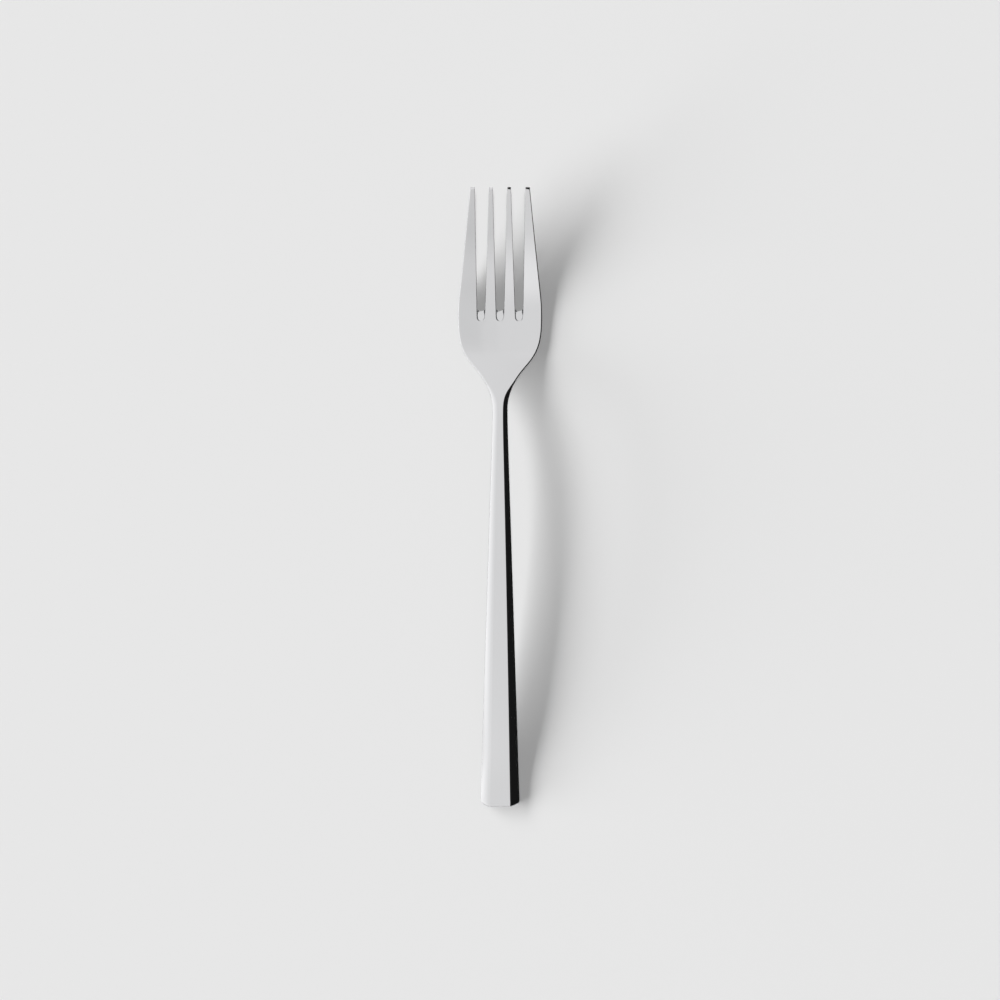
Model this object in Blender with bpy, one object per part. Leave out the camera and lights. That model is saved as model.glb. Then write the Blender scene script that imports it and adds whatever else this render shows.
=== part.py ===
"""A dessert fork: one piece of stainless steel, forged, pierced and polished.

The fork lies face up on the table, which is the plane z = 0. Its tips point
along +Y and its tail along -Y. The body is a loft of cross-sections that stand
square to the line of the back, from the tail over the arched handle and the
narrow neck to the tips. Three tapered slots with sloping round roots are then
cut through the head and leave the four tines.
"""
import math

import bmesh
import bpy

MM = 0.001

# Sizes in plan
OVERALL_LENGTH = 180.0 * MM
TAIL_WIDTH = 11.5 * MM
NECK_WIDTH = 4.3 * MM
HEAD_WIDTH = 24.6 * MM
TIP_SPREAD = 17.1 * MM
TAIL_CORNER_LENGTH = 1.9 * MM
TAIL_END_WIDTH = 1.0 * MM

# Places along the head, measured back from the tips
TINE_LENGTH = 37.7 * MM
CHEEK_END_FROM_TIP = 33.0 * MM
CHEEK_LENGTH = 3.0 * MM
CHEEK_EASE = 1.5 * MM
PALM_REST_FROM_TIP = 41.5 * MM
HOLLOW_FROM_TIP = 50.0 * MM
SHOULDER_FROM_TIP = 51.0 * MM
FACET_END_FROM_TIP = 54.8 * MM
FACET_FADE_FROM_TIP = 60.3 * MM
NECK_FROM_TIP = 63.5 * MM
NECK_EASE = 4.0 * MM

# Width over the shoulders where they slope most, and that slope in plan
SHOULDER_WIDTH = 15.8 * MM
SHOULDER_ANGLE = math.radians(41.5)

# Thickness of the metal, square to the back
TAIL_THICKNESS = 3.7 * MM
NECK_THICKNESS = 3.3 * MM
PALM_THICKNESS = 2.2 * MM
TIP_THICKNESS = 1.5 * MM

# Line of the back: two flats carry the fork, and the handle arches between them
TAIL_REST_LENGTH = 5.0 * MM
PALM_REST_LENGTH = 3.6 * MM
ARCH_HEIGHT = 8.35 * MM
ARCH_TOP_SHARE = 0.727
TAIL_RISE_SHARE = 0.24
TAIL_RISE_HEIGHT = 3.0 * MM
TAIL_RISE_ANGLE = math.radians(9.4)
NECK_HEIGHT = 5.5 * MM
NECK_DROP_ANGLE = math.radians(15.0)
THROAT_HEIGHT = 2.65 * MM
THROAT_DROP_ANGLE = math.radians(27.0)
THROAT_SHARE = 0.5
TINE_SWEEP_RADIUS = 56.0 * MM
TINE_RISE_ANGLE = math.radians(30.0)

# Facets of the handle, broken edges and the shallow hollow of the head's face
FACET_TAIL_WIDTH = 5.9 * MM
FACET_NECK_WIDTH = 1.6 * MM
FACET_TILT = math.radians(33.0)
EDGE_BREAK = 0.32 * MM
FACE_DISH = 0.25 * MM

# Slots between the tines, from wall to wall
SLOT_ROOT_WIDTH = 2.25 * MM
SLOT_TIP_WIDTH = 4.15 * MM
SLOT_ROOT_PITCH = 5.62 * MM
SLOT_TIP_PITCH = 5.22 * MM
SLOT_ROOT_ANGLE = math.radians(58.0)

# How far a cutter stands clear of the metal that it removes
CUTTER_CLEAR = 1.0 * MM

TIP_Y = OVERALL_LENGTH / 2
TAIL_Y = -OVERALL_LENGTH / 2
ROOT_Y = TIP_Y - TINE_LENGTH
NECK_Y = TIP_Y - NECK_FROM_TIP
PALM_REST_END = TIP_Y - PALM_REST_FROM_TIP
PALM_REST_START = PALM_REST_END - PALM_REST_LENGTH
TAIL_REST_END = TAIL_Y + TAIL_REST_LENGTH


def flowing(knots, y):
    """Value and slope at y of the smooth line through knots of (y, value, slope)."""
    for start, end in zip(knots, knots[1:]):
        if y <= end[0]:
            break
    run = end[0] - start[0]
    rise = end[1] - start[1]
    lead_in = run * start[2]
    lead_out = run * end[2]
    bend = 3 * rise - 2 * lead_in - lead_out
    twist = lead_in + lead_out - 2 * rise
    u = (y - start[0]) / run
    value = start[1] + u * (lead_in + u * (bend + u * twist))
    slope = (lead_in + u * (2 * bend + 3 * u * twist)) / run
    return value, slope


def between(start, end, share):
    """The place at a share of the way from start to end."""
    return start + share * (end - start)


def back_line(y):
    """Height of the back above the table, and its slope, at y."""
    if y > PALM_REST_END:
        run = y - PALM_REST_END
        on_arc = min(run, TINE_SWEEP_RADIUS * math.sin(TINE_RISE_ANGLE))
        leg = math.sqrt(TINE_SWEEP_RADIUS ** 2 - on_arc ** 2)
        slope = on_arc / leg
        return TINE_SWEEP_RADIUS - leg + slope * (run - on_arc), slope
    arch_top = between(TAIL_Y, NECK_Y, ARCH_TOP_SHARE)
    rise = between(TAIL_REST_END, arch_top, TAIL_RISE_SHARE)
    throat = between(NECK_Y, PALM_REST_START, THROAT_SHARE)
    knots = (
        (TAIL_Y, 0.0, 0.0),
        (TAIL_REST_END, 0.0, 0.0),
        (rise, TAIL_RISE_HEIGHT, math.tan(TAIL_RISE_ANGLE)),
        (arch_top, ARCH_HEIGHT, 0.0),
        (NECK_Y, NECK_HEIGHT, -math.tan(NECK_DROP_ANGLE)),
        (throat, THROAT_HEIGHT, -math.tan(THROAT_DROP_ANGLE)),
        (PALM_REST_START, 0.0, 0.0),
        (PALM_REST_END, 0.0, 0.0),
    )
    return flowing(knots, y)


def half_width(y):
    """Half of the width in plan at y, before the corners of the tail are rounded."""
    handle_taper = (NECK_WIDTH - TAIL_WIDTH) / 2 / (NECK_Y - NECK_EASE - TAIL_Y)
    tine_taper = (TIP_SPREAD - HEAD_WIDTH) / 2 / CHEEK_END_FROM_TIP
    cheek_y = TIP_Y - CHEEK_END_FROM_TIP
    knots = (
        (TAIL_Y, TAIL_WIDTH / 2, handle_taper),
        (NECK_Y - 2 * NECK_EASE, NECK_WIDTH / 2 - NECK_EASE * handle_taper, handle_taper),
        (NECK_Y, NECK_WIDTH / 2, 0.0),
        (TIP_Y - SHOULDER_FROM_TIP, SHOULDER_WIDTH / 2, math.tan(SHOULDER_ANGLE)),
        (cheek_y - CHEEK_LENGTH, HEAD_WIDTH / 2, 0.0),
        (cheek_y - CHEEK_EASE, HEAD_WIDTH / 2, 0.0),
        (cheek_y + CHEEK_EASE, HEAD_WIDTH / 2 + CHEEK_EASE * tine_taper, tine_taper),
        (TIP_Y, TIP_SPREAD / 2, tine_taper),
    )
    return flowing(knots, y)[0]


def facet_width(y):
    """Width in plan of the sloping facet at y: broad on the handle, a broken edge on the head."""
    tail = (TAIL_WIDTH - FACET_TAIL_WIDTH) / 2
    neck = (NECK_WIDTH - FACET_NECK_WIDTH) / 2
    taper = (neck - tail) / (NECK_Y - TAIL_Y)
    fade_y = TIP_Y - FACET_FADE_FROM_TIP
    knots = (
        (TAIL_Y, tail, taper),
        (fade_y, tail + taper * (fade_y - TAIL_Y), taper),
        (TIP_Y - FACET_END_FROM_TIP, EDGE_BREAK, 0.0),
        (TIP_Y, EDGE_BREAK, 0.0),
    )
    return flowing(knots, y)[0]


def thickness(y):
    """Thickness of the metal at y, square to the back."""
    handle_taper = (NECK_THICKNESS - TAIL_THICKNESS) / (NECK_Y - TAIL_Y)
    tine_taper = (TIP_THICKNESS - PALM_THICKNESS) / (TIP_Y - PALM_REST_START)
    knots = (
        (TAIL_Y, TAIL_THICKNESS, handle_taper),
        (NECK_Y, NECK_THICKNESS, handle_taper),
        (PALM_REST_START, PALM_THICKNESS, tine_taper),
        (TIP_Y, TIP_THICKNESS, tine_taper),
    )
    return flowing(knots, min(y, TIP_Y))[0]


def hollow(y):
    """Depth of the hollow of the head's face at y, along its middle."""
    knots = (
        (TAIL_Y, 0.0, 0.0),
        (TIP_Y - HOLLOW_FROM_TIP, 0.0, 0.0),
        (PALM_REST_END, FACE_DISH, 0.0),
        (ROOT_Y, FACE_DISH, 0.0),
        (TIP_Y, 0.0, 0.0),
    )
    return flowing(knots, y)[0]


def tail_corner(y):
    """How much the rounded corner of the tail takes off the half width at y."""
    corner_width = (TAIL_WIDTH - TAIL_END_WIDTH) / 2
    left = max(0.0, 1.0 - (y - TAIL_Y) / TAIL_CORNER_LENGTH)
    return corner_width * (1.0 - math.sqrt(1.0 - left * left))


def placed(x, y, height):
    """The point at x that stands at a height square to the back at y."""
    base, slope = back_line(y)
    turn = math.atan(slope)
    return x, y - height * math.sin(turn), base + height * math.cos(turn)


def body_section(y):
    """Points of the cross-section at y, from one back edge over the face to the other."""
    side = half_width(y) - tail_corner(y)
    face = min(half_width(y) - facet_width(y), side - EDGE_BREAK)
    end_break = max(0.0, EDGE_BREAK - (y - TAIL_Y))
    top = thickness(y) - end_break
    shoulder = top - (side - face) * math.tan(FACET_TILT)
    dish = hollow(y)
    right = [(side - EDGE_BREAK, end_break), (side, end_break + EDGE_BREAK), (side, shoulder)]
    for share in (1.0, 0.67, 0.33):
        right.append((share * face, top - dish * (1.0 - share * share)))
    left = [(-x, height) for x, height in reversed(right)]
    section = right + [(0.0, top - dish)] + left
    return [placed(x, y, height) for x, height in section]


def evenly(start, end, count):
    """Places from start up to, but without, end."""
    return [between(start, end, step / count) for step in range(count)]


def body_stations():
    """Places of the cross-sections, closer together where the outline turns."""
    turns = evenly(0.0, math.pi / 2, 7)
    corner = [TAIL_Y + TAIL_CORNER_LENGTH * (1.0 - math.cos(turn)) for turn in turns]
    return (corner
            + evenly(TAIL_Y + TAIL_CORNER_LENGTH, TAIL_REST_END, 2)
            + evenly(TAIL_REST_END, NECK_Y, 28)
            + evenly(NECK_Y, PALM_REST_START, 20)
            + evenly(PALM_REST_START, PALM_REST_END, 2)
            + evenly(PALM_REST_END, TIP_Y, 22)
            + [TIP_Y])


def slot_section(side, along, turn):
    """Section of a slot cutter, flared at the face and at the back to break the edges.

    In the round root, along is 0 and turn runs from a right angle down to 0.
    From there turn is 0 and along runs to 1, just past the tips.
    """
    metal = thickness(ROOT_Y)
    flare = EDGE_BREAK + CUTTER_CLEAR
    left = []
    right = []
    for from_face, from_back, spread in (
            (None, -CUTTER_CLEAR, flare),
            (None, EDGE_BREAK, 0.0),
            (-EDGE_BREAK, None, 0.0),
            (CUTTER_CLEAR, None, flare)):
        depth = metal - from_back if from_face is None else -from_face
        centre_y = ROOT_Y + SLOT_ROOT_WIDTH / 2 + depth * math.tan(SLOT_ROOT_ANGLE)
        root_y = centre_y - (SLOT_ROOT_WIDTH / 2 + spread) * math.sin(turn)
        y = between(root_y, TIP_Y + CUTTER_CLEAR, along)
        share = max(0.0, (y - ROOT_Y) / TINE_LENGTH)
        half = between(SLOT_ROOT_WIDTH, SLOT_TIP_WIDTH, share) / 2 + spread
        centre = side * between(SLOT_ROOT_PITCH, SLOT_TIP_PITCH, share)
        height = from_back if from_face is None else thickness(y) + from_face
        left.append(placed(centre - half * math.cos(turn), y, height))
        right.append(placed(centre + half * math.cos(turn), y, height))
    return left + right[::-1]


def slot_sections(side):
    """Sections of a slot cutter, from the end of its round root to past the tips."""
    turns = evenly(math.radians(84.0), 0.0, 7)
    shares = evenly(0.0, 1.0, 18) + [1.0]
    return ([slot_section(side, 0.0, turn) for turn in turns]
            + [slot_section(side, share, 0.0) for share in shares])


def lofted(name, sections, collection):
    """A closed body through matching cross-sections, capped at both ends."""
    mesh = bpy.data.meshes.new(name)
    shape = bmesh.new()
    rings = [[shape.verts.new(point) for point in section] for section in sections]
    count = len(rings[0])
    for ring, following in zip(rings, rings[1:]):
        for index in range(count):
            beside = (index + 1) % count
            shape.faces.new((ring[index], ring[beside], following[beside], following[index]))
    shape.faces.new(rings[0][::-1])
    shape.faces.new(rings[-1])
    bmesh.ops.recalc_face_normals(shape, faces=shape.faces)
    shape.to_mesh(mesh)
    shape.free()
    made = bpy.data.objects.new(name, mesh)
    collection.objects.link(made)
    return made


def polished_steel():
    """Bright stainless steel."""
    steel = bpy.data.materials.new("polished_steel")
    steel.use_nodes = True
    surface = steel.node_tree.nodes["Principled BSDF"]
    surface.inputs["Base Color"].default_value = (0.62, 0.62, 0.63, 1.0)
    surface.inputs["Metallic"].default_value = 1.0
    surface.inputs["Roughness"].default_value = 0.18
    return steel


for old in list(bpy.data.objects):
    bpy.data.objects.remove(old, do_unlink=True)

parts = bpy.data.collections.new("dessert_fork")
cutters = bpy.data.collections.new("slot_cutters")
bpy.context.scene.collection.children.link(parts)
bpy.context.scene.collection.children.link(cutters)

# The fork, one bar of steel from the tail to the tips
fork = lofted("fork", [body_section(y) for y in body_stations()], parts)

# The three slots that part the tines
for side, place in ((-1, "left"), (0, "middle"), (1, "right")):
    cutter = lofted("slot_" + place, slot_sections(side), cutters)
    cutter.display_type = 'WIRE'
    cutter.hide_render = True
    cut = fork.modifiers.new("slot_" + place, 'BOOLEAN')
    cut.operation = 'DIFFERENCE'
    cut.solver = 'EXACT'
    cut.object = cutter

bpy.context.view_layer.objects.active = fork
for modifier in list(fork.modifiers):
    bpy.ops.object.modifier_apply(modifier=modifier.name)

# The polish runs over the whole fork; its facets and edges stay crisp
fork.data.materials.append(polished_steel())
fork.data.shade_smooth()
fork.data.set_sharp_from_angle(angle=math.radians(24.0))
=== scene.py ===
import math

import bmesh
import bpy
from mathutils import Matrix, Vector
from mathutils.bvhtree import BVHTree


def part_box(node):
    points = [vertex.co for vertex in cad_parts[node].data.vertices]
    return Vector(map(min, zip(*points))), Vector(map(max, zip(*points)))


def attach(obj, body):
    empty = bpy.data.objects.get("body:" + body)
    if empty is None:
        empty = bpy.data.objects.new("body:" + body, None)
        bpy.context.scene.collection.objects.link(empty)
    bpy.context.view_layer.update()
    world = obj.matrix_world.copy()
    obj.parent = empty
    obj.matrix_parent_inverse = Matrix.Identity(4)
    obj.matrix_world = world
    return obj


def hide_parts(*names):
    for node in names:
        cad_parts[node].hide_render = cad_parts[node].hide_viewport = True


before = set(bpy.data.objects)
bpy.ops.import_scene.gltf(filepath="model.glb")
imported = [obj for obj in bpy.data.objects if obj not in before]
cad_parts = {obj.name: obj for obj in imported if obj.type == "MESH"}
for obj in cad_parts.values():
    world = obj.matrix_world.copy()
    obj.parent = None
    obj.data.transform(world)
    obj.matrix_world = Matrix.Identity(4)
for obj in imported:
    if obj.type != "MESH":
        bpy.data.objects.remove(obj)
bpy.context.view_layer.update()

# The fork
# One length of stainless steel: forged to its thickness, pierced between the tines, bent to its
# arch, ground to the facets of its handle and polished bright all over. Only its right half is
# modelled, as a bar drawn out from the tail, and the left half is its mirror image.

MM = 0.001

# Places along the length, which runs from the tail at -Y to the tips at +Y
tail_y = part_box("fork")[0].y
tip_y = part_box("fork")[1].y
TINE_LENGTH = 37.7 * MM
root_y = tip_y - TINE_LENGTH
tail_corner_y = tail_y + 1.9 * MM
neck_y = tip_y - 63.5 * MM
facet_fade_y = tip_y - 60.3 * MM
facet_end_y = tip_y - 54.8 * MM
hollow_y = tip_y - 50.0 * MM
palm_y = tip_y - 45.0 * MM
dish_y = tip_y - 41.5 * MM

# The slots between the tines. Their round roots slope forward from the face to the back.
SLOT_ROOT_WIDTH = 2.25 * MM
SLOT_TIP_WIDTH = 4.15 * MM
SLOT_ROOT_PITCH = 5.62 * MM
SLOT_TIP_PITCH = 5.22 * MM
SLOT_EDGE_BREAK = 0.11 * MM
ROOT_CORNER = 0.31 * SLOT_ROOT_WIDTH / 2
ROOT_BOW = 0.465 * SLOT_ROOT_WIDTH / 2
ROOT_SIDE = 0.15 * MM
RAMP_SINK = 0.03 * MM
RAMP_SHARE = 0.93
RAMP_RUN = 3.3 * MM
RAMP_FADE = 11.0 * MM

# The facets of the handle: half the width of the top one at the tail, and the side ones
TOP_FACET_TAIL = 2.95 * MM
SIDE_FACET_TAIL = 2.8 * MM
SIDE_FACET_NECK = 1.34 * MM
SIDE_FACET_BOW = 0.11 * MM
FACET_TILT = math.radians(33.0)
FACET_CROWN = 0.088

# The broken edges of the head, which narrow along the tines, and the round ones of the back
EDGE_BREAK = 0.31 * MM
TIP_EDGE_BREAK = 0.17 * MM
BACK_ROUND = 0.3 * EDGE_BREAK

# The tail: the broken edge of its end, and how much further out its corners lie than the CAD's
TAIL_EDGE_BREAK = 0.3 * MM
TAIL_FULLNESS = 0.25 * MM

# The hollow of the face behind the tines, and the share of it that is left at their tips
FACE_HOLLOW = 0.25 * MM
TIP_HOLLOW = 0.25

# The small facet that is ground on the end of each tine: its length, and its slopes down to the tip
# and outwards
TIP_FACET_LENGTH = 0.66 * MM
TIP_FACET_FALL = 0.78
TIP_FACET_LEAN = 0.19

# The CAD solid, on which the heights and widths of the fork are measured
solid = BVHTree.FromPolygons(
    [corner.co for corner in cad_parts["fork"].data.vertices],
    [face.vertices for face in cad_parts["fork"].data.polygons])
FAR = 50.0 * MM
INSIDE = 0.5 * MM


def between(start, end, share):
    return start + share * (end - start)


def eased(share):
    share = min(1.0, max(0.0, share))
    return share * share * (3.0 - 2.0 * share)


def slot_lines(y):
    """Where the slots lie on the right half: edge of the middle one; inner edge, middle, outer edge."""
    share = max(0.0, (y - root_y) / TINE_LENGTH)
    half = between(SLOT_ROOT_WIDTH, SLOT_TIP_WIDTH, share) / 2
    pitch = between(SLOT_ROOT_PITCH, SLOT_TIP_PITCH, share)
    return [half, pitch - half, pitch, pitch + half]


def clear_of_slots(y):
    """A place across the fork at y that is metal: the middle, or the middle of a tine."""
    if y < root_y - INSIDE:
        return 0.0
    lines = slot_lines(y)
    return (lines[0] + lines[1]) / 2


def face_height(y):
    """Height of the fork's face above the table at y, where it is clear of the slots."""
    return solid.ray_cast(Vector((clear_of_slots(y), y, FAR)), Vector((0.0, 0.0, -1.0)))[0].z


def back_height(y):
    """Height of the fork's back above the table at y."""
    return solid.ray_cast(Vector((clear_of_slots(y), y, -FAR)), Vector((0.0, 0.0, 1.0)))[0].z


def half_width(y):
    """Half of the fork's width in plan at y, with the fuller corners of the tail."""
    height = back_height(y) + 2 * EDGE_BREAK
    if y < tail_corner_y:
        y = min(y + TAIL_FULLNESS, tail_corner_y)
    return solid.ray_cast(Vector((FAR, y, height)), Vector((-1.0, 0.0, 0.0)))[0].x


def edge_width(y):
    """Width in plan of the side facet of the handle at y, or of the broken edge of the head."""
    along = (y - tail_y) / (neck_y - tail_y)
    facet = between(SIDE_FACET_TAIL, SIDE_FACET_NECK, along) - SIDE_FACET_BOW * 4 * along * (1 - along)
    if y < tail_corner_y:
        return max(TAIL_EDGE_BREAK, min(facet, half_width(y) - TOP_FACET_TAIL))
    if y < facet_fade_y:
        return facet
    flare = (half_width(y + INSIDE) - half_width(y - INSIDE)) / (2 * INSIDE)
    broken = between(EDGE_BREAK, TIP_EDGE_BREAK, max(0.0, (y - root_y) / TINE_LENGTH))
    broken *= math.hypot(1.0, flare)
    fade = (y - facet_fade_y) / (facet_end_y - facet_fade_y)
    return between(facet, broken, eased(fade))


def hollow(y):
    """How much lower the face lies along its middle at y than along its edges."""
    if y < root_y:
        return FACE_HOLLOW * eased((y - hollow_y) / (dish_y - hollow_y))
    return FACE_HOLLOW * between(TIP_HOLLOW, 1.0, eased((tip_y - y) / TINE_LENGTH))


def face_lines(y):
    """Where the lines along the face stand at y, from its middle to its edge."""
    edge = half_width(y) - edge_width(y)
    if y > root_y - INSIDE:
        return [0.0] + slot_lines(y) + [edge]
    root_edge = half_width(root_y) - edge_width(root_y)
    return [0.0] + [line * edge / root_edge for line in slot_lines(root_y)] + [edge]


def section(y, bow=0.0):
    """Corners of the right half of the cross-section at y: over the face, down the side, and back.

    With a bow, the middles of the slots lie that much behind their edges.
    """
    face = []
    edge = face_lines(y)[5]
    for index, x in enumerate(face_lines(y)):
        across = (x * x - clear_of_slots(y) ** 2) / (edge * edge)
        behind = bow if index in (0, 3) else 0.0
        face.append(Vector((x, y - behind, face_height(y) + hollow(y) * across)))
    side = half_width(y)
    fall = edge_width(y) * math.tan(FACET_TILT)
    side_top = Vector((side, y, face[5].z - fall))
    out = Vector((math.sin(FACET_TILT), 0.0, math.cos(FACET_TILT)))
    crown = (face[5] + side_top) / 2 + out * FACET_CROWN * (side_top - face[5]).length
    low = back_height(y)
    side_low = Vector((side, y, low + EDGE_BREAK))
    back_round = Vector((side - BACK_ROUND, y, low + BACK_ROUND))
    back_edge = Vector((side - EDGE_BREAK, y, low))
    ahead = y
    if y > root_y - INSIDE:
        ahead += RAMP_RUN * max(0.0, 1.0 - (y - root_y) / RAMP_FADE)
    back = []
    for index, x in enumerate(face_lines(ahead)[:5]):
        behind = bow if index in (0, 3) else 0.0
        back.append(Vector((x, ahead - behind, back_height(ahead))))
    return face + [crown, side_top, side_low, back_round, back_edge] + back[::-1]


TIP_REACH = 1.0 * MM


def tip_sections():
    """The last two cross-sections of the tines, on either side of the facet on their ends."""
    near = section(tip_y - 2 * TIP_REACH)
    nearer = section(tip_y - TIP_REACH)
    facet_y = tip_y - TIP_FACET_LENGTH
    start = []
    end = []
    for index, (a, b) in enumerate(zip(near, nearer)):
        climb = (b - a) / (b.y - a.y)
        if index in (1, 2, 4, 5, 6, 7):
            inner, outer = (nearer[1], nearer[2]) if index <= 2 else (nearer[4], nearer[7])
            lean = TIP_FACET_LEAN * (b.x - (inner.x + outer.x) / 2)
            rise = climb.z if index <= 5 else (nearer[5].z - near[5].z) / (b.y - a.y)
            top = inner.z + rise * (facet_y - inner.y) - lean
            reach = (top - b.z + climb.z * b.y + TIP_FACET_FALL * facet_y) / (climb.z + TIP_FACET_FALL)
            start.append(b + climb * (reach - b.y))
            end.append(Vector((start[-1].x, tip_y, top - TIP_FACET_FALL * TIP_FACET_LENGTH)))
        else:
            start.append(b + climb * (facet_y - b.y))
            end.append(b + climb * (tip_y - b.y))
    return [start, end]


def evenly(start, end, count):
    """Places from start up to, but without, end."""
    return [between(start, end, step / count) for step in range(count)]


# The cross-sections stand closest round the corners of the tail, at the neck and at the slot roots
tail_steps = (0.01, 0.06, 0.14, 0.31, 0.46, 0.65, 0.87, 1.1, 1.3, 1.5, 1.7, 1.9, 2.2, 2.8)
tail_end = [tail_y + step * MM for step in tail_steps]
handle_start_y = tail_y + 4.0 * MM
neck_start_y = neck_y - 8.0 * MM
palm_end_y = root_y - 0.6 * MM
handle = evenly(handle_start_y, neck_start_y, 17)
neck = evenly(neck_start_y, palm_y, 18)
palm = evenly(palm_y, palm_end_y, 5) + [palm_end_y]
root_ring = section(root_y + ROOT_CORNER, ROOT_BOW)
tine_steps = (1.8, 3.6, 6.0, 8.8, 12.0, 15.5, 19.0, 22.5, 26.0, 29.5, 33.0, 35.5)
tines = [root_y + step * MM for step in tine_steps]
bar_rings = [section(y) for y in tail_end + handle + neck + palm] + [root_ring]
tine_rings = [section(y) for y in tines] + tip_sections()

# The corners of a cross-section are numbered: 0 to 5 over the face, 6 the crown of the side facet,
# 7 and 8 the side, 9 and 10 the round edge of the back, and 11 to 15 along the back to the middle.
# These bound each strip, from the middle of the fork to its side.
MIDDLE_GAP = (0, 1, 14, 15)
INNER_TINE = (1, 2, 13, 14)
OUTER_GAP = ((2, 3, 12, 13), (3, 4, 11, 12))
OUTER_TINE = ((4, 5, 10, 11), (5, 6, 9, 10), (6, 7, 8, 9))
WHOLE_BAR = (MIDDLE_GAP, INNER_TINE) + OUTER_GAP + OUTER_TINE
BOTH_TINES = (INNER_TINE,) + OUTER_TINE


def corner_at(shape, place):
    return min(shape.verts, key=lambda corner: (corner.co - place).length_squared)


def nothing_selected(shape):
    for item in list(shape.faces) + list(shape.edges) + list(shape.verts):
        item.select = False
    shape.select_history.clear()


def move_corners(mesh, places, targets):
    """Moves the corners at some places to others, one by one."""
    shape = bmesh.from_edit_mesh(mesh)
    shape.verts.index_update()
    numbers = [corner_at(shape, place).index for place in places]
    for number, place, target in zip(numbers, places, targets):
        shape = bmesh.from_edit_mesh(mesh)
        shape.verts.ensure_lookup_table()
        nothing_selected(shape)
        shape.verts[number].select_set(True)
        bmesh.update_edit_mesh(mesh)
        bpy.ops.transform.translate(value=target - place)


def select_faces(mesh, loops):
    shape = bmesh.from_edit_mesh(mesh)
    nothing_selected(shape)
    for loop in loops:
        shape.faces.get([corner_at(shape, place) for place in loop]).select_set(True)
    bmesh.update_edit_mesh(mesh)


def select_edges(mesh, pairs):
    shape = bmesh.from_edit_mesh(mesh)
    nothing_selected(shape)
    for ends in pairs:
        shape.edges.get([corner_at(shape, place) for place in ends]).select_set(True)
    bmesh.update_edit_mesh(mesh)


def draw_out(mesh, ring, strips, target):
    """Extrudes the end faces of the bar and sets each corner of the new end at its place."""
    select_faces(mesh, [[ring[index] for index in strip] for strip in strips])
    step = Vector((0.0, target[5].y - ring[5].y, 0.0))
    bpy.ops.mesh.extrude_region_move(TRANSFORM_OT_translate={"value": step})
    ends = sorted(set(sum(strips, ())))
    move_corners(mesh, [ring[index] + step for index in ends], [target[index] for index in ends])


# The bar starts as a block at the tail, cut lengthwise into the strips that run on to the tines
tail_ring = bar_rings[0]
block_x = [corner.x for corner in bar_rings[6][:8]]
block_low = tail_ring[15].z
block_high = tail_ring[0].z
block_start = tail_ring[0].y
block_end = bar_rings[1][0].y
bpy.ops.object.select_all(action='DESELECT')
bpy.ops.mesh.primitive_cube_add(
    size=1.0,
    location=(block_x[7] / 2, (block_start + block_end) / 2, (block_low + block_high) / 2),
    scale=(block_x[7], block_end - block_start, block_high - block_low))
bpy.ops.object.transform_apply(location=True, rotation=True, scale=True)
fork = bpy.context.object
fork.name = "polished_fork"
mesh = fork.data
mesh.name = "polished_fork"
bpy.ops.object.mode_set(mode='EDIT')
bpy.ops.mesh.select_mode(type='VERT')
for x in block_x[1:7]:
    bpy.ops.mesh.select_all(action='SELECT')
    bpy.ops.mesh.bisect(plane_co=(x, 0.0, 0.0), plane_no=(1.0, 0.0, 0.0))
for y, ring in ((block_start, bar_rings[0]), (block_end, bar_rings[1])):
    block_ring = [Vector((x, y, block_high)) for x in block_x]
    block_ring += [Vector((x, y, block_low)) for x in reversed(block_x)]
    move_corners(mesh, block_ring, ring)

# It is drawn out to the roots of the tines, and from there the two tines go on by themselves
for ring, target in zip(bar_rings[1:], bar_rings[2:]):
    draw_out(mesh, ring, WHOLE_BAR, target)
for ring, target in zip([root_ring] + tine_rings, tine_rings):
    draw_out(mesh, ring, BOTH_TINES, target)

# The wall that the block left on the mirror plane comes out
ON_THE_PLANE = 0.001 * MM
shape = bmesh.from_edit_mesh(mesh)
nothing_selected(shape)
for wall in shape.faces:
    if all(abs(corner.co.x) < ON_THE_PLANE for corner in wall.verts):
        wall.select_set(True)
bmesh.update_edit_mesh(mesh)
bpy.ops.mesh.delete(type='FACE')

# The ridges of the facets, the edges of the back and the ends stay crisp
all_rings = bar_rings + tine_rings
tail_ridge = bar_rings[3]
crisp = []
for index in (5, 7, 8, 10):
    crisp += [(a[index], b[index]) for a, b in zip(all_rings, all_rings[1:])]
crisp += list(zip(tail_ring, tail_ring[1:]))
crisp += list(zip(tail_ridge[:5], tail_ridge[1:6]))
for ring in tine_rings[-2:]:
    crisp += [(ring[index], ring[index + 1]) for index in (1, 4, 5, 6)]
end_ring = tine_rings[-1]
crisp += [(end_ring[index], end_ring[index + 1]) for index in (7, 8, 9, 10, 13)]
crisp += [(end_ring[a], end_ring[b]) for a, b in ((1, 14), (2, 13), (4, 11))]
select_edges(mesh, crisp)
bpy.ops.transform.edge_crease(value=1.0)
bpy.ops.mesh.mark_sharp()
bpy.ops.object.mode_set(mode='OBJECT')

mirror = fork.modifiers.new("left_half", 'MIRROR')
mirror.use_clip = True
mirror.merge_threshold = 0.01 * MM
bpy.ops.object.modifier_apply(modifier="left_half")

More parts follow.
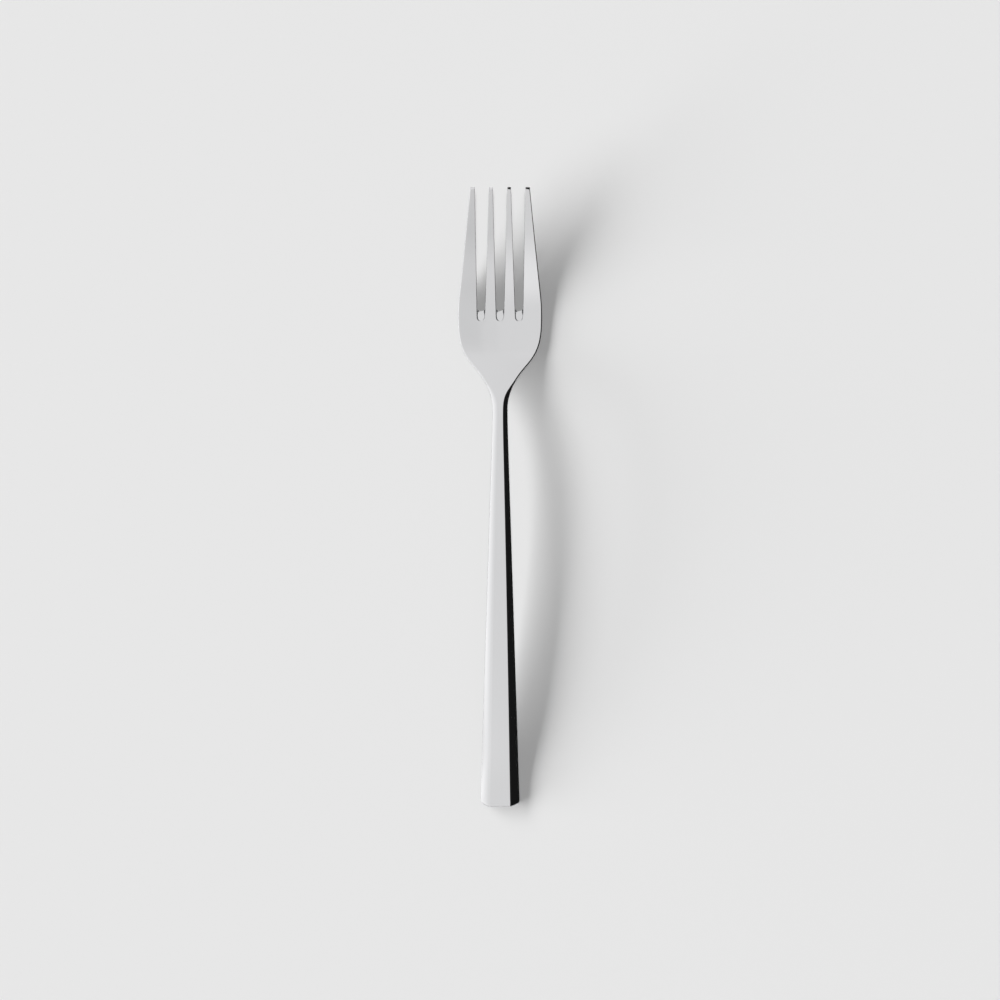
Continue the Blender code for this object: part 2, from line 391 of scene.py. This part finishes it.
# The edges of the slots are broken, round their roots too
slot_edges = [(root_ring[index], root_ring[index + 1]) for index in (0, 2, 3, 11, 12, 14)]
slot_rings = [root_ring] + tine_rings
for index in (1, 2, 4, 11, 13, 14):
    slot_edges += [(a[index], b[index]) for a, b in zip(slot_rings, slot_rings[1:])]
MIRRORED = Vector((-1.0, 1.0, 1.0))
slot_edges += [(a * MIRRORED, b * MIRRORED) for a, b in slot_edges]
bpy.ops.object.mode_set(mode='EDIT')
bpy.ops.mesh.select_mode(type='FACE')
root_faces = [[root_ring[index] for index in strip] for strip in (MIDDLE_GAP,) + OUTER_GAP]
root_faces += [[corner * MIRRORED for corner in loop] for loop in root_faces]
select_faces(mesh, root_faces)
bpy.ops.mesh.inset(thickness=ROOT_SIDE)

# In each root a flat ramp lies between the sides of the slot, which meet it in small hollows
slot_middles = [(root_ring[0], root_ring[15]), (root_ring[3], root_ring[12])]
slot_middles.append((root_ring[3] * MIRRORED, root_ring[12] * MIRRORED))


def on_ramp(place):
    """Where a corner in a slot's root comes to lie on its ramp."""
    top, low = min(slot_middles, key=lambda ends: abs(ends[0].x - place.x))
    share = RAMP_SHARE * (place.y - top.y) / (low.y - top.y)
    return Vector((place.x, between(top.y, low.y, share), between(top.z, low.z, share) - RAMP_SINK))


shape = bmesh.from_edit_mesh(mesh)
ramps = [[corner.co.copy() for corner in face.verts] for face in shape.faces if face.select]
ramp_corners = [corner.co.copy() for corner in shape.verts if corner.select]
bpy.ops.mesh.select_mode(type='VERT')
move_corners(mesh, ramp_corners, [on_ramp(place) for place in ramp_corners])
bpy.ops.mesh.select_mode(type='FACE')
select_faces(mesh, [[on_ramp(place) for place in ramp] for ramp in ramps])
bpy.ops.mesh.select_mode(type='EDGE')
bpy.ops.mesh.region_to_loop()
bpy.ops.transform.edge_crease(value=1.0)
bpy.ops.mesh.mark_sharp()

select_edges(mesh, slot_edges)
bpy.ops.mesh.bevel(offset=SLOT_EDGE_BREAK, offset_type='OFFSET', segments=2, affect='EDGES')
bpy.ops.mesh.region_to_loop()
bpy.ops.transform.edge_crease(value=1.0)
bpy.ops.mesh.mark_sharp()

# The ridge of the facet on each tine's end runs on across these broken edges
ridge_ends = [tine_rings[-2][index] for index in (1, 2, 4)]
ridge_ends += [place * MIRRORED for place in ridge_ends]
shape = bmesh.from_edit_mesh(mesh)
nothing_selected(shape)
for edge in shape.edges:
    for place in ridge_ends:
        if all((corner.co - place).length < 2 * SLOT_EDGE_BREAK for corner in edge.verts):
            edge.select_set(True)
bmesh.update_edit_mesh(mesh)
bpy.ops.transform.edge_crease(value=1.0)
bpy.ops.mesh.mark_sharp()
bpy.ops.object.mode_set(mode='OBJECT')

smooth = fork.modifiers.new("flowing_lines", 'SUBSURF')
smooth.levels = 2
smooth.render_levels = 2
bpy.ops.object.modifier_apply(modifier="flowing_lines")
bpy.ops.object.mode_set(mode='EDIT')
bpy.ops.mesh.select_all(action='SELECT')
bpy.ops.mesh.normals_make_consistent(inside=False)
bpy.ops.object.mode_set(mode='OBJECT')
bpy.ops.object.shade_smooth(keep_sharp_edges=True)

# Polished stainless steel. The polishing wheel ran along the fork, so its lines do too, and faint
# cloudy patches are a little less bright than the rest.
STEEL = (0.622, 0.622, 0.63, 1.0)
LINES_PER_METRE = (2600.0, 45.0, 2600.0)
CLOUDS_PER_METRE = 55.0
steel = bpy.data.materials.new("polished_steel")
steel.use_nodes = True
nodes = steel.node_tree.nodes
links = steel.node_tree.links
surface = nodes["Principled BSDF"]
surface.inputs["Base Color"].default_value = STEEL
surface.inputs["Metallic"].default_value = 1.0
place = nodes.new("ShaderNodeTexCoord")
stretched = nodes.new("ShaderNodeMapping")
stretched.inputs["Scale"].default_value = LINES_PER_METRE
links.new(place.outputs["Object"], stretched.inputs["Vector"])
lines = nodes.new("ShaderNodeTexNoise")
lines.inputs["Scale"].default_value = 1.0
lines.inputs["Detail"].default_value = 3.0
links.new(stretched.outputs["Vector"], lines.inputs["Vector"])
clouds = nodes.new("ShaderNodeTexNoise")
clouds.inputs["Scale"].default_value = CLOUDS_PER_METRE
clouds.inputs["Detail"].default_value = 2.0
links.new(place.outputs["Object"], clouds.inputs["Vector"])
wear = nodes.new("ShaderNodeMath")
wear.operation = 'MULTIPLY'
links.new(lines.outputs["Fac"], wear.inputs[0])
links.new(clouds.outputs["Fac"], wear.inputs[1])
gloss = nodes.new("ShaderNodeMapRange")
gloss.inputs["From Min"].default_value = 0.1
gloss.inputs["From Max"].default_value = 0.4
gloss.inputs["To Min"].default_value = 0.05
gloss.inputs["To Max"].default_value = 0.1
links.new(wear.outputs["Value"], gloss.inputs["Value"])
links.new(gloss.outputs["Result"], surface.inputs["Roughness"])
grain = nodes.new("ShaderNodeBump")
grain.inputs["Strength"].default_value = 0.04
grain.inputs["Distance"].default_value = 0.002 * MM
links.new(lines.outputs["Fac"], grain.inputs["Height"])
links.new(grain.outputs["Normal"], surface.inputs["Normal"])
fork.data.materials.clear()
fork.data.materials.append(steel)
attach(fork, "root")
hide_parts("fork")

# The table
# A plain pale matt top, wide enough to fill the view from every side.

TABLE_COLOUR = (0.8, 0.8, 0.8, 1.0)
TABLE_SIZE = 40.0
bpy.ops.object.select_all(action='DESELECT')
bpy.ops.mesh.primitive_plane_add(size=TABLE_SIZE)
table = bpy.context.object
table.name = "table"
matt = bpy.data.materials.new("pale_table")
matt.use_nodes = True
nodes = matt.node_tree.nodes
links = matt.node_tree.links
nodes["Principled BSDF"].inputs["Roughness"].default_value = 1.0
nodes["Principled BSDF"].inputs["Specular IOR Level"].default_value = 0.0
# The steel mirrors the table to the eye, but throws none of its light back on it
path = nodes.new("ShaderNodeLightPath")
thrown = nodes.new("ShaderNodeMath")
thrown.operation = 'MULTIPLY'
links.new(path.outputs["Is Glossy Ray"], thrown.inputs[0])
links.new(path.outputs["Diffuse Depth"], thrown.inputs[1])
paint = nodes.new("ShaderNodeMix")
paint.data_type = 'RGBA'
paint.inputs["A"].default_value = TABLE_COLOUR
paint.inputs["B"].default_value = (0.0, 0.0, 0.0, 1.0)
links.new(thrown.outputs["Value"], paint.inputs["Factor"])
links.new(paint.outputs["Result"], nodes["Principled BSDF"].inputs["Base Color"])
table.data.materials.append(matt)

# The light
# A wide soft light high on the left and a lower one beside it give the long soft shadow, and a
# small one straight overhead lights what they leave in shadow.

LIGHT_DISTANCE = 60.0


def soft_light(name, azimuth, elevation, half_wide, half_high, radiance):
    """A distant rectangle of light that faces the fork, with its place and size as angles."""
    lamp = bpy.data.lights.new(name, 'AREA')
    lamp.shape = 'RECTANGLE'
    lamp.size = 2 * LIGHT_DISTANCE * math.tan(math.radians(half_wide))
    lamp.size_y = 2 * LIGHT_DISTANCE * math.tan(math.radians(half_high))
    lamp.energy = radiance * math.pi * lamp.size * lamp.size_y
    light = bpy.data.objects.new(name, lamp)
    turn = math.radians(azimuth)
    lift = math.radians(elevation)
    out = Vector((math.cos(turn), math.sin(turn), 0.0))
    out = out * math.cos(lift) + Vector((0.0, 0.0, math.sin(lift)))
    light.location = out * LIGHT_DISTANCE
    light.rotation_euler = out.to_track_quat('Z', 'Y').to_euler()
    light.visible_glossy = False
    light.visible_camera = False
    bpy.context.scene.collection.objects.link(light)


soft_light("left", azimuth=171.0, elevation=27.5, half_wide=38.0, half_high=8.5, radiance=9.5)
soft_light("low_left", azimuth=194.0, elevation=8.5, half_wide=22.0, half_high=6.5, radiance=16.4)
soft_light("overhead", azimuth=180.0, elevation=90.0, half_wide=2.0, half_high=2.0, radiance=236.0)

# What the polished steel mirrors: a studio that is bright on the left and dark on the right. Each
# level stands with its place, which is how far a direction leans to the right of straight up.
OVERHEAD_LEVELS = (
    (-4.5, 1.42), (-3.5, 1.39), (-2.3, 1.31), (-1.65, 1.26), (-1.2, 1.198), (-1.0, 1.116),
    (-0.8, 1.047), (0.0, 1.036), (0.045, 0.935), (0.12, 0.85), (0.3, 0.55), (0.6, 0.03),
    (1.0, 0.012))
TAILWARD_LEVELS = (
    (-4.5, 1.42), (-3.5, 1.39), (-2.3, 1.31), (-1.65, 1.26), (-1.2, 1.198), (-1.0, 1.116),
    (-0.8, 1.08), (-0.4, 1.296), (-0.1, 1.296), (0.1, 0.776), (0.3, 0.5), (0.6, 0.03), (1.0, 0.012))
# Towards the tail the studio grows a little brighter and then dims: places lean to the tips
LENGTHWISE_LEVELS = (
    (-1.4, 0.88), (-1.06, 0.9), (-1.0, 0.94), (-0.88, 0.968), (-0.77, 1.0), (-0.65, 1.028),
    (-0.5, 1.035), (-0.42, 1.02), (-0.2, 1.0), (0.4, 1.0), (0.5, 1.015))
TAILWARD_START = -0.15
TAILWARD_FULL = -0.42
LEVEL_TOP = 1.5
HORIZON_LIFT = 0.15
ACROSS_SOFTNESS = 0.25
ALONG_SCALE = 0.5
ALONG_MIDDLE = 0.75
DOME_LEVEL = 0.03

world = bpy.data.worlds.new("studio")
bpy.context.scene.world = world
world.use_nodes = True
nodes = world.node_tree.nodes
links = world.node_tree.links


def calculated(operation, *values):
    """Output of a maths node on sockets or numbers."""
    node = nodes.new("ShaderNodeMath")
    node.operation = operation
    for socket, value in zip(node.inputs, values):
        if isinstance(value, float):
            socket.default_value = value
        else:
            links.new(value, socket)
    return node.outputs["Value"]


def graded(levels, source, position):
    """Output of a colour ramp through levels, along a source whose places sit at given positions."""
    ramp = nodes.new("ShaderNodeValToRGB")
    stops = ramp.color_ramp.elements
    stops.remove(stops[1])
    for index, (place, level) in enumerate(levels):
        stop = stops[0] if index == 0 else stops.new(position(place))
        stop.position = position(place)
        shade = level / LEVEL_TOP
        stop.color = (shade, shade, shade, 1.0)
    links.new(source, ramp.inputs["Fac"])
    return ramp.outputs["Color"]


direction = nodes.new("ShaderNodeTexCoord")
parts = nodes.new("ShaderNodeSeparateXYZ")
links.new(direction.outputs["Generated"], parts.inputs["Vector"])
upright = calculated('ADD', calculated('ABSOLUTE', parts.outputs["Z"]), HORIZON_LIFT)
across = calculated('DIVIDE', parts.outputs["X"], upright)
along = calculated('DIVIDE', parts.outputs["Y"], upright)
spread = calculated('ADD', calculated('ABSOLUTE', across), ACROSS_SOFTNESS)
across_share = calculated('MULTIPLY_ADD', calculated('DIVIDE', across, spread), 0.5, 0.5)
along_share = calculated('MULTIPLY_ADD', along, ALONG_SCALE, ALONG_MIDDLE)


def across_position(place):
    """Where a place across the studio sits on its colour ramp."""
    return 0.5 + 0.5 * place / (abs(place) + ACROSS_SOFTNESS)


def along_position(place):
    """Where a place along the studio sits on its colour ramp."""
    return ALONG_MIDDLE + ALONG_SCALE * place


turned = nodes.new("ShaderNodeMapRange")
turned.interpolation_type = 'SMOOTHSTEP'
turned.inputs["From Min"].default_value = TAILWARD_START
turned.inputs["From Max"].default_value = TAILWARD_FULL
links.new(along, turned.inputs["Value"])
mirrored = nodes.new("ShaderNodeMix")
mirrored.data_type = 'RGBA'
links.new(turned.outputs["Result"], mirrored.inputs["Factor"])
links.new(graded(OVERHEAD_LEVELS, across_share, across_position), mirrored.inputs["A"])
links.new(graded(TAILWARD_LEVELS, across_share, across_position), mirrored.inputs["B"])
studio = nodes.new("ShaderNodeBackground")
links.new(mirrored.outputs["Result"], studio.inputs["Color"])
lengthwise = graded(LENGTHWISE_LEVELS, along_share, along_position)
links.new(calculated('MULTIPLY', lengthwise, LEVEL_TOP * LEVEL_TOP), studio.inputs["Strength"])

dome = nodes["Background"]
dome.inputs["Color"].default_value = (DOME_LEVEL, DOME_LEVEL, DOME_LEVEL, 1.0)
pale = nodes.new("ShaderNodeBackground")
pale.inputs["Color"].default_value = TABLE_COLOUR
path = nodes.new("ShaderNodeLightPath")
shiny = nodes.new("ShaderNodeMixShader")
direct = calculated('LESS_THAN', path.outputs["Diffuse Depth"], 0.5)
links.new(calculated('MULTIPLY', path.outputs["Is Glossy Ray"], direct), shiny.inputs["Fac"])
links.new(dome.outputs["Background"], shiny.inputs[1])
links.new(studio.outputs["Background"], shiny.inputs[2])
seen = nodes.new("ShaderNodeMixShader")
links.new(path.outputs["Is Camera Ray"], seen.inputs["Fac"])
links.new(shiny.outputs["Shader"], seen.inputs[1])
links.new(pale.outputs["Background"], seen.inputs[2])
links.new(seen.outputs["Shader"], nodes["World Output"].inputs["Surface"])

# The camera
# It looks straight down on the fork from 0.8 m, as in the photograph.

CAMERA_HEIGHT = 0.8
VIEW_WIDTH = 0.29413
VIEW_MIDDLE_X = -0.03 * MM
VIEW_MIDDLE_Y = -0.155 * MM
SENSOR_WIDTH = 36.0
camera = bpy.data.cameras.new("camera")
camera.sensor_width = SENSOR_WIDTH
camera.lens = SENSOR_WIDTH * CAMERA_HEIGHT / VIEW_WIDTH
viewer = bpy.data.objects.new("camera", camera)
viewer.location = (VIEW_MIDDLE_X, VIEW_MIDDLE_Y, CAMERA_HEIGHT)
bpy.context.scene.collection.objects.link(viewer)
bpy.context.scene.camera = viewer
bpy.context.scene.view_settings.view_transform = 'Standard'
